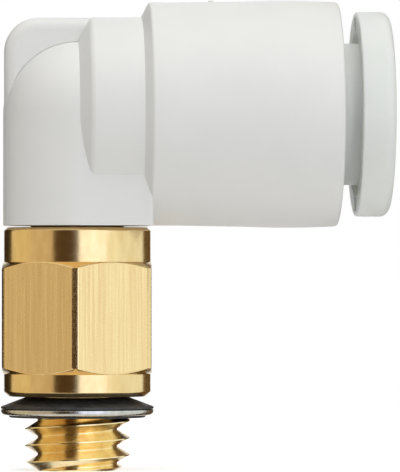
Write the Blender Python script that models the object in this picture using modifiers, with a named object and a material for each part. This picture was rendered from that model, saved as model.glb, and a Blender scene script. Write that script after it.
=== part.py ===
"""Male elbow push-in fitting: M5 threaded stud to 6 mm tube. Metres, +Z up.

The origin is on the thread axis, level with the port face that the gasket seals on.
The tube leaves along +X and the thread points down. Turned profiles are (radius, height)
pairs. On the tube side, height along the profile is the distance along +X.
"""

import math

import bmesh
import bpy

MM = 0.001

# Fits
RUNNING_CLEARANCE = 0.05 * MM  # radial, round a piece that turns or slides
SEATING_GAP = 0.03 * MM  # between pieces that press or rest on each other
ROUND_STEPS = 48
EDGE_STEPS = 3  # facets across a rounded edge
CUTTER_OVERSHOOT = 0.10 * MM  # how far a cutter runs past the face that it opens

# Gasket
GASKET_THICKNESS = 0.97 * MM
GASKET_LIP_OVERLAP = 0.175 * MM  # how far the lip reaches in behind the thread's crests
GASKET_TOP_LAND = 0.12 * MM
GASKET_BORE_RUBBER = 0.275 * MM
GASKET_FOOT_INSET = 0.35 * MM
GASKET_FOOT_HEIGHT = 0.08 * MM
GASKET_RING_WIDTH = 0.80 * MM
GASKET_RING_HEIGHT = 0.28 * MM
GASKET_RING_ROUND = 0.24 * MM
GASKET_SKIN = 0.10 * MM  # rubber at the rim, above the ring
GASKET_TOP_CHAMFER = 0.04 * MM
GASKET_LIP_SLOPE = 0.225 * MM

# Threaded stud
THREAD_RADIUS = 2.475 * MM
THREAD_LENGTH = 2.50 * MM
THREAD_TIP_TAPER = 0.615 * MM
THREAD_TIP_CHAMFER = 0.42 * MM
THREAD_RUNOUT = 0.25 * MM
UNDERCUT_DEPTH = 0.475 * MM
STUD_BORE_RADIUS = 1.25 * MM
HEX_ACROSS_FLATS = 7.00 * MM
HEX_CORNER_TRIM = 0.07 * MM
HEX_CHAMFER_ANGLE = math.radians(30)
HEX_TURN = math.radians(-3.4)  # how the flats stand to the tube in this pose of the swivel
COLLAR_INSET = 0.04 * MM  # how far the turned collars lie inside the flats
COLLAR_CHAMFER = 0.15 * MM
SEAT_CHAMFER = 0.22 * MM
LOWER_COLLAR_HEIGHT = 1.05 * MM
HEX_HEIGHT = 5.28 * MM
UPPER_COLLAR_HEIGHT = 1.63 * MM

# Swivel: spigot, snap barb and O-ring
SPIGOT_RADIUS = 2.20 * MM
SPIGOT_LENGTH = 2.54 * MM
SPIGOT_CHAMFER = 0.15 * MM
BARB_DEPTH = 0.30 * MM
BARB_HEIGHT = 0.60 * MM
BARB_LAND = 0.08 * MM
BARB_LEAD = 0.40 * MM
O_RING_CORD_RADIUS = 0.265 * MM
O_RING_HEIGHT = 1.64 * MM
O_RING_SIDE_CLEARANCE = 0.085 * MM
O_RING_SECTION_STEPS = 8
SWIVEL_GAP = 0.075 * MM

# Moulded elbow body
LEG_WALL = 0.95 * MM  # outside the snap recess, where the leg is thinnest
LEG_SIDE_INSET = 0.05 * MM  # the straight side under the neck, inside the leg's radius
LEG_EDGE_ROUND = 0.25 * MM
BALL_STEPS = 9
RIB_HALF_THICKNESS = 1.00 * MM
RIB_BACK_INSET = 0.05 * MM
RIB_NECK_DROP = 0.04 * MM  # the rib's top edge, below the top of the neck
RIB_FOOT = 1.75 * MM
RIB_CORNER_RADIUS = 1.60 * MM
RIB_CORNER_STEPS = 8
RIB_EDGE_ROUND = 0.55 * MM
SHOULDER_ANGLE = math.radians(63)
SHOULDER_ROOT = 0.35 * MM  # how far the shoulder's cone starts inside the leg
NECK_STEP = 0.71 * MM  # from the barrel down to the neck
NECK_EDGE_ROUND = 0.20 * MM
NECK_END = 3.00 * MM
BARREL_WALL = 0.97 * MM  # outside the guide sleeve
BARREL_CLEARANCE = 0.09 * MM  # between the barrel and the brass shoulder that it turns over
BARREL_EDGE_ROUND = 0.15 * MM
BARREL_CROWN = 0.11 * MM  # how far the pressed-in guide sleeve swells the barrel
BARREL_CROWN_END = 0.03 * MM  # what is left of the swelling at the mouth
BARREL_CROWN_LENGTH = 6.00 * MM
BARREL_CROWN_BACK = 2.25 * MM  # from the mouth back to the widest place
BARREL_CROWN_STEPS = 3
MOUTH_CHAMFER = 0.12 * MM

# Flow passages and tube socket
TUBE_RADIUS = 3.00 * MM
TUBE_CLEARANCE = 0.06 * MM
TUBE_STOP_WALL = 0.35 * MM  # between the tube's end and the spigot's bore
TUBE_END_LENGTH = 2.30 * MM
PASSAGE_RADIUS = 2.00 * MM
PASSAGE_END = 1.80 * MM
PASSAGE_END_CHAMFER = 0.30 * MM
DOWN_PASSAGE_RADIUS = 1.75 * MM

# Tube seal
SEAL_LENGTH = 2.10 * MM
SEAL_WIDTH = 0.89 * MM  # from the heel's bore to the outside
SEAL_HEEL_LENGTH = 0.95 * MM
SEAL_HEEL_CLEARANCE = 0.20 * MM
SEAL_SQUEEZE = 0.05 * MM
SEAL_GROOVE_DEPTH = 1.00 * MM
SEAL_OUTER_LIP = 0.17 * MM
SEAL_OUTER_LEAD = 0.06 * MM
SEAL_OUTER_RELIEF = 0.04 * MM
SEAL_INNER_LIP = 0.28 * MM
SEAL_INNER_LAND = 0.17 * MM
SEAL_INNER_LEAD = 0.34 * MM
SEAL_INNER_CHAMFER = 0.09 * MM

# Guide sleeve
GUIDE_WALL = 0.25 * MM
GUIDE_FLANGE = 0.20 * MM
GUIDE_FLANGE_CLEARANCE = 0.20 * MM
GUIDE_MOUTH_LENGTH = 1.00 * MM
GUIDE_WEDGE = 0.26 * MM
GUIDE_WEDGE_LENGTH = 0.45 * MM
GUIDE_RECESS = 0.10 * MM
GUIDE_BARB = 0.10 * MM
GUIDE_BARB_LENGTH = 0.40 * MM
GUIDE_BARB_BACK = 1.10 * MM

# Chuck
CLAW_COUNT = 8
CLAW_BITE = 0.05 * MM
CLAW_TIP_SETBACK = 0.32 * MM
CLAW_REACH = 0.80 * MM
CLAW_THICKNESS = 0.27 * MM
CLAW_SLOT = 0.55 * MM
CLAW_SLOT_ROOT = 0.33 * MM  # how far into the band's height the slots run
CHUCK_BAND_LENGTH = 0.60 * MM
CHUCK_SHEET = 0.18 * MM

# Collet
COLLET_SLOT_COUNT = 6
COLLET_SLOT = 0.45 * MM
COLLET_SLOT_LENGTH = 2.00 * MM
COLLET_WALL = 0.34 * MM  # outside the recess for the collar's ridge
COLLET_GRIP_LENGTH = 1.94 * MM  # from the ledge to the mouth
COLLET_WEDGE_BACKOFF = 0.12 * MM
COLLET_END_BACK = 0.05 * MM

# Release collar
RELEASE_TRAVEL = 0.80 * MM
RELEASE_STOP_GAP = 0.06 * MM
RELEASE_BORE_CLEARANCE = 0.05 * MM
RELEASE_WALL = 0.30 * MM
RELEASE_RIDGE = 0.23 * MM
RELEASE_RIDGE_LENGTH = 0.60 * MM
RELEASE_RIDGE_LEAD = 0.30 * MM
RELEASE_RIDGE_SETBACK = 0.80 * MM
FLANGE_INSET = 0.43 * MM  # from the barrel's outside
FLANGE_LENGTH = 1.57 * MM
FLANGE_BACK_ROUND = 0.22 * MM
FLANGE_FACE_ROUND = 0.42 * MM
FLANGE_FILLET = 0.30 * MM
FLANGE_MOUTH = 0.45 * MM
POCKET_COUNT = 2  # moulding pockets in the flange's back, at its top and bottom
POCKET_WIDTH = 1.00 * MM
POCKET_DEPTH = 0.35 * MM
POCKET_LAND = 0.30 * MM  # from the neck's fillet
POCKET_RIM = 0.26 * MM  # from the flange's outside

# Radii of the stud and the gasket, outwards from the thread
UNDERCUT_RADIUS = THREAD_RADIUS - UNDERCUT_DEPTH
THREAD_TIP_RADIUS = THREAD_RADIUS - THREAD_TIP_TAPER
GASKET_LIP_RADIUS = THREAD_RADIUS - GASKET_LIP_OVERLAP
GASKET_TOP_RADIUS = GASKET_LIP_RADIUS + GASKET_TOP_LAND
GASKET_FOOT_BORE = THREAD_RADIUS + RUNNING_CLEARANCE
GASKET_RING_BORE = GASKET_FOOT_BORE + GASKET_BORE_RUBBER
GASKET_RADIUS = GASKET_RING_BORE + GASKET_RING_WIDTH
GASKET_FOOT_RADIUS = GASKET_RADIUS - GASKET_FOOT_INSET
HEX_CORNER_RADIUS = HEX_ACROSS_FLATS / 2 / math.cos(math.pi / 6)
HEX_TURNED_RADIUS = HEX_CORNER_RADIUS - HEX_CORNER_TRIM
COLLAR_RADIUS = HEX_ACROSS_FLATS / 2 - COLLAR_INSET

# Radii of the swivel, outwards from the spigot
LEG_BORE_RADIUS = SPIGOT_RADIUS + RUNNING_CLEARANCE
O_RING_RADIUS = LEG_BORE_RADIUS - SEATING_GAP - O_RING_CORD_RADIUS
SNAP_RECESS_RADIUS = SPIGOT_RADIUS + BARB_DEPTH + RUNNING_CLEARANCE
LEG_RADIUS = SNAP_RECESS_RADIUS + LEG_WALL
LEG_SIDE = LEG_RADIUS - LEG_SIDE_INSET
RIB_BACK = LEG_RADIUS - RIB_BACK_INSET

# Radii of the tube side, outwards from the tube
SOCKET_RADIUS = TUBE_RADIUS + TUBE_CLEARANCE
SEAL_LIP_RADIUS = TUBE_RADIUS - SEAL_SQUEEZE
SEAL_HEEL_RADIUS = TUBE_RADIUS + SEAL_HEEL_CLEARANCE
SEAL_OUTER_RADIUS = SEAL_HEEL_RADIUS + SEAL_WIDTH
CLAW_TIP_RADIUS = TUBE_RADIUS - CLAW_BITE
RELEASE_BORE_RADIUS = TUBE_RADIUS + RELEASE_BORE_CLEARANCE
RELEASE_NECK_RADIUS = RELEASE_BORE_RADIUS + RELEASE_WALL
RELEASE_RIDGE_RADIUS = RELEASE_NECK_RADIUS + RELEASE_RIDGE
COLLET_RECESS_RADIUS = RELEASE_RIDGE_RADIUS + RUNNING_CLEARANCE
BAND_RADIUS = COLLET_RECESS_RADIUS + COLLET_WALL
BAND_BORE = BAND_RADIUS - CHUCK_SHEET
GUIDE_BORE = BAND_RADIUS + RUNNING_CLEARANCE
GUIDE_MOUTH_BORE = GUIDE_BORE - GUIDE_WEDGE
GUIDE_FLANGE_BORE = TUBE_RADIUS + GUIDE_FLANGE_CLEARANCE
GUIDE_OUTER_RADIUS = GUIDE_BORE + GUIDE_WALL
GUIDE_SEAT_RADIUS = GUIDE_OUTER_RADIUS + SEATING_GAP
BARREL_RADIUS = GUIDE_SEAT_RADIUS + BARREL_WALL
NECK_RADIUS = BARREL_RADIUS - NECK_STEP
FLANGE_RADIUS = BARREL_RADIUS - FLANGE_INSET

# Heights on the thread axis, upwards from the port
SEAT_Z = GASKET_THICKNESS + SEATING_GAP
HEX_BOTTOM_Z = SEAT_Z + LOWER_COLLAR_HEIGHT
HEX_TOP_Z = HEX_BOTTOM_Z + HEX_HEIGHT
SHOULDER_Z = HEX_TOP_Z + UPPER_COLLAR_HEIGHT
LEG_BOTTOM_Z = SHOULDER_Z + SWIVEL_GAP
BARB_Z = SHOULDER_Z + BARB_HEIGHT
O_RING_Z = SHOULDER_Z + O_RING_HEIGHT
SPIGOT_TOP_Z = SHOULDER_Z + SPIGOT_LENGTH
TUBE_AXIS_Z = SHOULDER_Z + BARREL_CLEARANCE + BARREL_RADIUS

# Distances along the tube axis, outwards from the tube's stop
TUBE_STOP = LEG_BORE_RADIUS + TUBE_STOP_WALL
SEAL_SEAT_X = TUBE_STOP + TUBE_END_LENGTH
SEAL_X = SEAL_SEAT_X + RUNNING_CLEARANCE
GUIDE_SHOULDER_X = SEAL_X + SEAL_LENGTH + RUNNING_CLEARANCE
GUIDE_X = GUIDE_SHOULDER_X + SEATING_GAP
CLAW_TIP_X = GUIDE_X + GUIDE_FLANGE + CLAW_TIP_SETBACK
BAND_X = CLAW_TIP_X + CLAW_REACH
COLLET_X = BAND_X + CHUCK_BAND_LENGTH + RUNNING_CLEARANCE


def claw_face_x(radius):
    """Where the claws' inner face, the side that the release collar pushes, lies at a radius."""
    slope = CLAW_REACH / (BAND_RADIUS - CLAW_TIP_RADIUS)
    return CLAW_TIP_X + CLAW_THICKNESS + (radius - CLAW_TIP_RADIUS) * slope


NOSE_X = claw_face_x(RELEASE_BORE_RADIUS) + RUNNING_CLEARANCE + RELEASE_TRAVEL
RIDGE_X = NOSE_X + RELEASE_RIDGE_SETBACK
RIDGE_END_X = RIDGE_X + RELEASE_RIDGE_LENGTH
COLLET_LEDGE_X = RIDGE_END_X + RUNNING_CLEARANCE
COLLET_END_X = COLLET_LEDGE_X + COLLET_GRIP_LENGTH
BARREL_END = COLLET_END_X + COLLET_END_BACK
GUIDE_END_X = BARREL_END - GUIDE_RECESS
GUIDE_MOUTH_X = GUIDE_END_X - GUIDE_MOUTH_LENGTH
GUIDE_BARB_X = GUIDE_END_X - GUIDE_BARB_BACK
FLANGE_X = BARREL_END + RELEASE_TRAVEL + RELEASE_STOP_GAP


def clear_scene():
    for obj in list(bpy.data.objects):
        bpy.data.objects.remove(obj, do_unlink=True)


def new_collection(name):
    collection = bpy.data.collections.new(name)
    bpy.context.scene.collection.children.link(collection)
    return collection


def new_empty(name, collection, parent=None):
    empty = bpy.data.objects.new(name, None)
    empty.empty_display_size = 2 * MM
    empty.parent = parent
    collection.objects.link(empty)
    return empty


def new_material(name, colour, roughness, metallic=0.0):
    material = bpy.data.materials.new(name)
    material.use_nodes = True
    shader = material.node_tree.nodes["Principled BSDF"]
    shader.inputs["Base Color"].default_value = (*colour, 1.0)
    shader.inputs["Roughness"].default_value = roughness
    shader.inputs["Metallic"].default_value = metallic
    return material


def arc(centre, radius, start, end, steps):
    """Profile points along an arc, from one angle in degrees to another."""
    points = []
    for step in range(steps + 1):
        angle = math.radians(start + (end - start) * step / steps)
        across = centre[0] + radius * math.cos(angle)
        along = centre[1] + radius * math.sin(angle)
        points.append((across, along))
    return points


def turned(name, profile, collection, parent, closed=True):
    """A piece turned round its own Z axis. A closed profile is a ring, an open one starts
    and ends on the axis. Both run down the outer side."""
    mesh = bpy.data.meshes.new(name)
    points = [(across, 0.0, along) for across, along in profile]
    edges = [(index, index + 1) for index in range(len(points) - 1)]
    if closed:
        edges.append((len(points) - 1, 0))
    mesh.from_pydata(points, edges, [])
    obj = bpy.data.objects.new(name, mesh)
    obj.parent = parent
    collection.objects.link(obj)
    screw = obj.modifiers.new("turn", "SCREW")
    screw.axis = "Z"
    screw.angle = math.tau
    screw.steps = ROUND_STEPS
    screw.render_steps = ROUND_STEPS
    screw.use_merge_vertices = True
    screw.merge_threshold = 0.001 * MM
    return obj


def as_cutter(obj):
    obj.hide_render = True
    obj.display_type = "WIRE"
    return obj


def combine(obj, operation, other):
    """Adds an exact Boolean of another object to this one."""
    boolean = obj.modifiers.new(f"{operation.lower()}_{other.name}", "BOOLEAN")
    boolean.operation = operation
    boolean.solver = "EXACT"
    boolean.object = other


def finish(obj, material):
    """Applies the modifiers, shades the round faces smooth and gives the piece its material."""
    bpy.context.view_layer.update()
    graph = bpy.context.evaluated_depsgraph_get()
    mesh = bpy.data.meshes.new_from_object(obj.evaluated_get(graph))
    mesh.name = obj.name
    obj.modifiers.clear()
    obj.data = mesh
    mesh.materials.clear()
    mesh.materials.append(material)
    mesh.shade_smooth()
    mesh.set_sharp_from_angle(angle=math.radians(32))
    return obj


def block(name, low, high, collection, parent):
    """A box between two corners."""
    shape = bmesh.new()
    bmesh.ops.create_cube(shape, size=1.0)
    for vert in shape.verts:
        vert.co = [a + (b - a) * (c + 0.5) for a, b, c in zip(low, high, vert.co)]
    mesh = bpy.data.meshes.new(name)
    shape.to_mesh(mesh)
    shape.free()
    obj = bpy.data.objects.new(name, mesh)
    obj.parent = parent
    collection.objects.link(obj)
    return obj


def radial_slots(name, count, width, radii, heights, collection, parent):
    """Boxes spaced round an axis from its lowest side, as one cutter, for slots and pockets."""
    shape = bmesh.new()
    for index in range(count):
        angle = math.tau * index / count
        made = bmesh.ops.create_cube(shape, size=1.0)
        for vert in made["verts"]:
            across = radii[0] + (radii[1] - radii[0]) * (vert.co.x + 0.5)
            side = width * vert.co.y
            along = heights[0] + (heights[1] - heights[0]) * (vert.co.z + 0.5)
            x = across * math.cos(angle) - side * math.sin(angle)
            y = across * math.sin(angle) + side * math.cos(angle)
            vert.co = (x, y, along)
    mesh = bpy.data.meshes.new(name)
    shape.to_mesh(mesh)
    shape.free()
    obj = bpy.data.objects.new(name, mesh)
    obj.parent = parent
    collection.objects.link(obj)
    return as_cutter(obj)


def stud_profile():
    """Section of the stud as it is turned, before the flats, from the spigot's top down."""
    corner_rise = (HEX_TURNED_RADIUS - COLLAR_RADIUS) * math.tan(HEX_CHAMFER_ANGLE)
    groove_half = O_RING_CORD_RADIUS + O_RING_SIDE_CLEARANCE
    groove_root = O_RING_RADIUS - O_RING_CORD_RADIUS - SEATING_GAP
    barb_radius = SPIGOT_RADIUS + BARB_DEPTH
    return [
        (SPIGOT_RADIUS - SPIGOT_CHAMFER, SPIGOT_TOP_Z),
        (SPIGOT_RADIUS, SPIGOT_TOP_Z - SPIGOT_CHAMFER),
        (SPIGOT_RADIUS, O_RING_Z + groove_half),
        (groove_root, O_RING_Z + groove_half),
        (groove_root, O_RING_Z - groove_half),
        (SPIGOT_RADIUS, O_RING_Z - groove_half),
        (SPIGOT_RADIUS, BARB_Z + BARB_LAND + BARB_LEAD),
        (barb_radius, BARB_Z + BARB_LAND),
        (barb_radius, BARB_Z),
        (SPIGOT_RADIUS, BARB_Z),
        (SPIGOT_RADIUS, SHOULDER_Z),
        (COLLAR_RADIUS - COLLAR_CHAMFER, SHOULDER_Z),
        (COLLAR_RADIUS, SHOULDER_Z - COLLAR_CHAMFER),
        (COLLAR_RADIUS, HEX_TOP_Z),
        (HEX_TURNED_RADIUS, HEX_TOP_Z - corner_rise),
        (HEX_TURNED_RADIUS, HEX_BOTTOM_Z + corner_rise),
        (COLLAR_RADIUS, HEX_BOTTOM_Z),
        (COLLAR_RADIUS, SEAT_Z + SEAT_CHAMFER),
        (COLLAR_RADIUS - SEAT_CHAMFER, SEAT_Z),
        (UNDERCUT_RADIUS, SEAT_Z),
        (UNDERCUT_RADIUS, THREAD_RUNOUT),
        (THREAD_RADIUS, 0.0),
        (THREAD_RADIUS, THREAD_TIP_CHAMFER - THREAD_LENGTH),
        (THREAD_TIP_RADIUS, -THREAD_LENGTH),
        (STUD_BORE_RADIUS, -THREAD_LENGTH),
        (STUD_BORE_RADIUS, SPIGOT_TOP_Z),
    ]


def make_threaded_stud(parts, cutters, axis):
    """Brass, turned from 7 mm hexagon bar: thread, seat, hexagon between two collars, spigot."""
    stud = turned("threaded_stud", stud_profile(), parts, axis)
    bar_length = SPIGOT_TOP_Z + THREAD_LENGTH + 2 * CUTTER_OVERSHOOT
    bpy.ops.mesh.primitive_cylinder_add(
        vertices=6,
        radius=HEX_CORNER_RADIUS,
        depth=bar_length,
        location=(0, 0, (SPIGOT_TOP_Z - THREAD_LENGTH) / 2),
        rotation=(0, 0, HEX_TURN),
    )
    bar = bpy.context.object
    bar.name = "hexagon_bar"
    for collection in list(bar.users_collection):
        collection.objects.unlink(bar)
    cutters.objects.link(bar)
    as_cutter(bar)
    combine(stud, "INTERSECT", bar)
    brass = new_material("brass", (0.71, 0.50, 0.22), 0.22, 1.0)
    return finish(stud, brass)


def make_stud_o_ring(parts, axis):
    """Nitrile ring that seals the swivel, in the spigot's groove."""
    steps = O_RING_SECTION_STEPS
    section = arc((O_RING_RADIUS, O_RING_Z), O_RING_CORD_RADIUS, 90, -270, steps)[:-1]
    ring = turned("stud_o_ring", section, parts, axis)
    return finish(ring, new_material("nitrile", (0.02, 0.02, 0.02), 0.55))


def make_gasket_ring(parts, axis):
    """Stainless ring inside the port gasket, with a rounded outer edge."""
    bottom = GASKET_FOOT_HEIGHT + SEATING_GAP
    top = bottom + GASKET_RING_HEIGHT
    round_centre = (GASKET_RADIUS - GASKET_RING_ROUND, bottom + GASKET_RING_ROUND)
    profile = [(GASKET_RADIUS, top)]
    profile += arc(round_centre, GASKET_RING_ROUND, 0, -90, EDGE_STEPS)
    profile += [(GASKET_RING_BORE, bottom), (GASKET_RING_BORE, top)]
    ring = turned("gasket_ring", profile, parts, axis)
    return finish(ring, new_material("stainless", (0.62, 0.62, 0.61), 0.28, 1.0))


def make_gasket_rubber(parts, axis):
    """Nitrile moulded round the ring: a cone on top, a lip in the undercut, a flat foot."""
    ring_top = GASKET_FOOT_HEIGHT + 2 * SEATING_GAP + GASKET_RING_HEIGHT
    waist = GASKET_RING_BORE - SEATING_GAP
    lip_foot = THREAD_RUNOUT + RUNNING_CLEARANCE
    profile = [
        (GASKET_TOP_RADIUS, GASKET_THICKNESS),
        (GASKET_RADIUS, ring_top + GASKET_SKIN),
        (GASKET_RADIUS, ring_top),
        (waist, ring_top),
        (waist, GASKET_FOOT_HEIGHT),
        (GASKET_FOOT_RADIUS, GASKET_FOOT_HEIGHT),
        (GASKET_FOOT_RADIUS - GASKET_FOOT_HEIGHT, 0.0),
        (GASKET_FOOT_BORE, 0.0),
        (GASKET_FOOT_BORE, lip_foot),
        (GASKET_LIP_RADIUS, lip_foot + GASKET_LIP_SLOPE),
        (GASKET_LIP_RADIUS, GASKET_THICKNESS - GASKET_TOP_CHAMFER),
    ]
    rubber = turned("gasket_rubber", profile, parts, axis)
    return finish(rubber, new_material("gasket_nitrile", (0.03, 0.03, 0.03), 0.5))


def barrel_crown():
    """Swelling of the barrel over the guide sleeve, from the mouth's side down to nothing."""
    widest = BARREL_END - BARREL_CROWN_BACK
    start = BARREL_END - BARREL_CROWN_LENGTH
    points = []
    for step in range(BARREL_CROWN_STEPS + 1):
        share = step / BARREL_CROWN_STEPS
        rise = BARREL_CROWN * (1 + math.cos(math.pi * share)) / 2
        points.append((BARREL_RADIUS + rise, widest + (start - widest) * share))
    return points


def barrel_profile():
    """Outer shape of the tube side: shoulder, neck, step and barrel, as a solid."""
    root_x = -SHOULDER_ROOT / math.tan(SHOULDER_ANGLE)
    shoulder_run = (NECK_RADIUS - LEG_RADIUS) / math.tan(SHOULDER_ANGLE)
    step_run = (BARREL_RADIUS - NECK_RADIUS) / math.tan(SHOULDER_ANGLE)
    edge = BARREL_EDGE_ROUND
    neck_edge = (NECK_RADIUS - NECK_EDGE_ROUND, shoulder_run + NECK_EDGE_ROUND)
    turn = 90 - math.degrees(SHOULDER_ANGLE)
    profile = [(0.0, BARREL_END)]
    step_edge = (BARREL_RADIUS - edge, NECK_END + step_run + edge)
    mouth_edge = (BARREL_RADIUS + BARREL_CROWN_END - edge, BARREL_END - edge)
    profile += arc(mouth_edge, edge, 90, 0, EDGE_STEPS)
    profile += barrel_crown()
    profile += arc(step_edge, edge, 0, turn - 90, EDGE_STEPS)
    profile += [(NECK_RADIUS, NECK_END)]
    profile += arc(neck_edge, NECK_EDGE_ROUND, 0, turn - 90, EDGE_STEPS)
    profile += [(LEG_RADIUS - SHOULDER_ROOT, root_x), (0.0, root_x)]
    return profile


def socket_profile():
    """Space inside the tube side, from the barrel's mouth to the end of the passage."""
    seal_seat = SEAL_OUTER_RADIUS + SEATING_GAP
    barb_seat = GUIDE_SEAT_RADIUS + GUIDE_BARB
    barb_end = GUIDE_BARB_X + GUIDE_BARB_LENGTH + SEATING_GAP
    mouth_radius = GUIDE_SEAT_RADIUS + MOUTH_CHAMFER + CUTTER_OVERSHOOT
    return [
        (0.0, BARREL_END + CUTTER_OVERSHOOT),
        (mouth_radius, BARREL_END + CUTTER_OVERSHOOT),
        (GUIDE_SEAT_RADIUS, BARREL_END - MOUTH_CHAMFER),
        (GUIDE_SEAT_RADIUS, barb_end),
        (barb_seat, barb_end),
        (barb_seat, barb_end - GUIDE_BARB),
        (GUIDE_SEAT_RADIUS, GUIDE_BARB_X - SEATING_GAP),
        (GUIDE_SEAT_RADIUS, GUIDE_SHOULDER_X),
        (seal_seat, GUIDE_SHOULDER_X),
        (seal_seat, SEAL_SEAT_X),
        (SOCKET_RADIUS, SEAL_SEAT_X),
        (SOCKET_RADIUS, TUBE_STOP),
        (PASSAGE_RADIUS, TUBE_STOP),
        (PASSAGE_RADIUS, PASSAGE_END_CHAMFER - PASSAGE_END),
        (PASSAGE_RADIUS - PASSAGE_END_CHAMFER, -PASSAGE_END),
        (0.0, -PASSAGE_END),
    ]


def leg_bore_profile():
    """Space inside the leg: passage down, spigot bore, barb recess and mouth."""
    clearance = RUNNING_CLEARANCE
    recess_top = BARB_Z + BARB_LAND + BARB_LEAD + 2 * clearance
    bore_top = SPIGOT_TOP_Z + 2 * clearance
    lip_top = BARB_Z - clearance
    return [
        (0.0, TUBE_AXIS_Z),
        (DOWN_PASSAGE_RADIUS, TUBE_AXIS_Z),
        (DOWN_PASSAGE_RADIUS, bore_top),
        (LEG_BORE_RADIUS, bore_top),
        (LEG_BORE_RADIUS, recess_top),
        (SNAP_RECESS_RADIUS, recess_top - BARB_LEAD),
        (SNAP_RECESS_RADIUS, lip_top),
        (LEG_BORE_RADIUS, lip_top),
        (LEG_BORE_RADIUS, LEG_BOTTOM_Z - CUTTER_OVERSHOOT),
        (0.0, LEG_BOTTOM_Z - CUTTER_OVERSHOOT),
    ]


def make_rib(cutters, swivel_axis):
    """Corner rib behind the ball: a flat outline with rounded edges."""
    corner = RIB_CORNER_RADIUS
    inside_neck = NECK_EDGE_ROUND + (NECK_RADIUS - LEG_RADIUS) / math.tan(SHOULDER_ANGLE)
    top = NECK_RADIUS - RIB_NECK_DROP
    outline = arc((corner - RIB_BACK, top - corner), corner, 180, 90, RIB_CORNER_STEPS)
    outline += [(inside_neck, top), (inside_neck, -RIB_FOOT), (-RIB_BACK, -RIB_FOOT)]
    curve = bpy.data.curves.new("rib_outline", "CURVE")
    curve.dimensions = "2D"
    curve.fill_mode = "BOTH"
    curve.extrude = RIB_HALF_THICKNESS - RIB_EDGE_ROUND
    curve.bevel_depth = RIB_EDGE_ROUND
    curve.bevel_resolution = 2
    curve.offset = -RIB_EDGE_ROUND
    spline = curve.splines.new("POLY")
    spline.points.add(len(outline) - 1)
    for point, (across, along) in zip(spline.points, outline):
        point.co = (across, along, 0.0, 1.0)
    spline.use_cyclic_u = True
    drawn = bpy.data.objects.new("rib_outline", curve)
    drawn.location = (0, 0, TUBE_AXIS_Z)
    drawn.rotation_euler = (math.pi / 2, 0, 0)
    drawn.parent = swivel_axis
    cutters.objects.link(drawn)
    bpy.context.view_layer.update()
    graph = bpy.context.evaluated_depsgraph_get()
    mesh = bpy.data.meshes.new_from_object(drawn.evaluated_get(graph))
    shape = bmesh.new()
    shape.from_mesh(mesh)
    bmesh.ops.remove_doubles(shape, verts=shape.verts, dist=0.001 * MM)
    shape.to_mesh(mesh)
    shape.free()
    rib = bpy.data.objects.new("corner_rib", mesh)
    rib.parent = swivel_axis
    rib.location = drawn.location
    rib.rotation_euler = drawn.rotation_euler
    cutters.objects.link(rib)
    bpy.data.objects.remove(drawn, do_unlink=True)
    return as_cutter(rib)


def make_leg_block(cutters, swivel_axis):
    """The straight-sided half of the leg, under the neck, with two rounded upright edges."""
    low = (0.0, -LEG_RADIUS, LEG_BOTTOM_Z)
    high = (LEG_SIDE, LEG_RADIUS, TUBE_AXIS_Z)
    leg = block("leg_block", low, high, cutters, swivel_axis)
    shape = bmesh.new()
    shape.from_mesh(leg.data)
    middle = LEG_SIDE / 2
    upright = []
    for edge in shape.edges:
        first, second = (vert.co for vert in edge.verts)
        if min(first.x, second.x) > middle and abs(first.z - second.z) > middle:
            upright.append(edge)
    bmesh.ops.bevel(
        shape,
        geom=upright,
        offset=LEG_EDGE_ROUND,
        segments=EDGE_STEPS,
        profile=0.5,
        affect="EDGES",
        material=-1,
    )
    shape.to_mesh(leg.data)
    shape.free()
    return as_cutter(leg)


def make_elbow_body(parts, cutters, swivel_axis, tube_axis):
    """One resin moulding: round-backed leg with a ball corner, corner rib, neck and barrel."""
    ball_centre = (0.0, TUBE_AXIS_Z)
    profile = arc(ball_centre, LEG_RADIUS, 90, 0, BALL_STEPS)
    profile[0] = (0.0, TUBE_AXIS_Z + LEG_RADIUS)
    profile += [(LEG_RADIUS, LEG_BOTTOM_Z), (0.0, LEG_BOTTOM_Z)]
    body = turned("elbow_body", profile, parts, swivel_axis, closed=False)
    barrel = turned("barrel_outside", barrel_profile(), cutters, tube_axis, closed=False)
    socket = turned("socket_inside", socket_profile(), cutters, tube_axis, closed=False)
    leg_bore = turned("leg_inside", leg_bore_profile(), cutters, swivel_axis, closed=False)
    combine(body, "UNION", make_leg_block(cutters, swivel_axis))
    combine(body, "UNION", make_rib(cutters, swivel_axis))
    combine(body, "UNION", as_cutter(barrel))
    combine(body, "DIFFERENCE", as_cutter(socket))
    combine(body, "DIFFERENCE", as_cutter(leg_bore))
    return finish(body, new_material("white_resin", (0.80, 0.80, 0.78), 0.4))


def make_tube_seal(parts, tube_axis):
    """Nitrile lip seal: a heel against the guide and two lips facing the pressure."""
    end = SEAL_X + SEAL_LENGTH
    heel = end - SEAL_HEEL_LENGTH
    groove_middle = (SEAL_OUTER_RADIUS + SEAL_HEEL_RADIUS) / 2
    land = SEAL_X + SEAL_INNER_LEAD
    profile = [
        (SEAL_OUTER_RADIUS - SEAL_OUTER_RELIEF, end),
        (SEAL_OUTER_RADIUS - SEAL_OUTER_RELIEF, heel),
        (SEAL_OUTER_RADIUS, heel - SEAL_OUTER_LIP),
        (SEAL_OUTER_RADIUS, SEAL_X + SEAL_OUTER_LEAD),
        (SEAL_OUTER_RADIUS - SEAL_OUTER_LIP, SEAL_X),
        (groove_middle, SEAL_X + SEAL_GROOVE_DEPTH),
        (SEAL_LIP_RADIUS + SEAL_INNER_LIP, SEAL_X),
        (SEAL_LIP_RADIUS + SEAL_INNER_CHAMFER, SEAL_X),
        (SEAL_LIP_RADIUS, land),
        (SEAL_LIP_RADIUS, land + SEAL_INNER_LAND),
        (SEAL_HEEL_RADIUS, heel),
        (SEAL_HEEL_RADIUS, end),
    ]
    seal = turned("tube_seal", profile, parts, tube_axis)
    return finish(seal, new_material("seal_nitrile", (0.025, 0.025, 0.025), 0.5))


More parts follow.
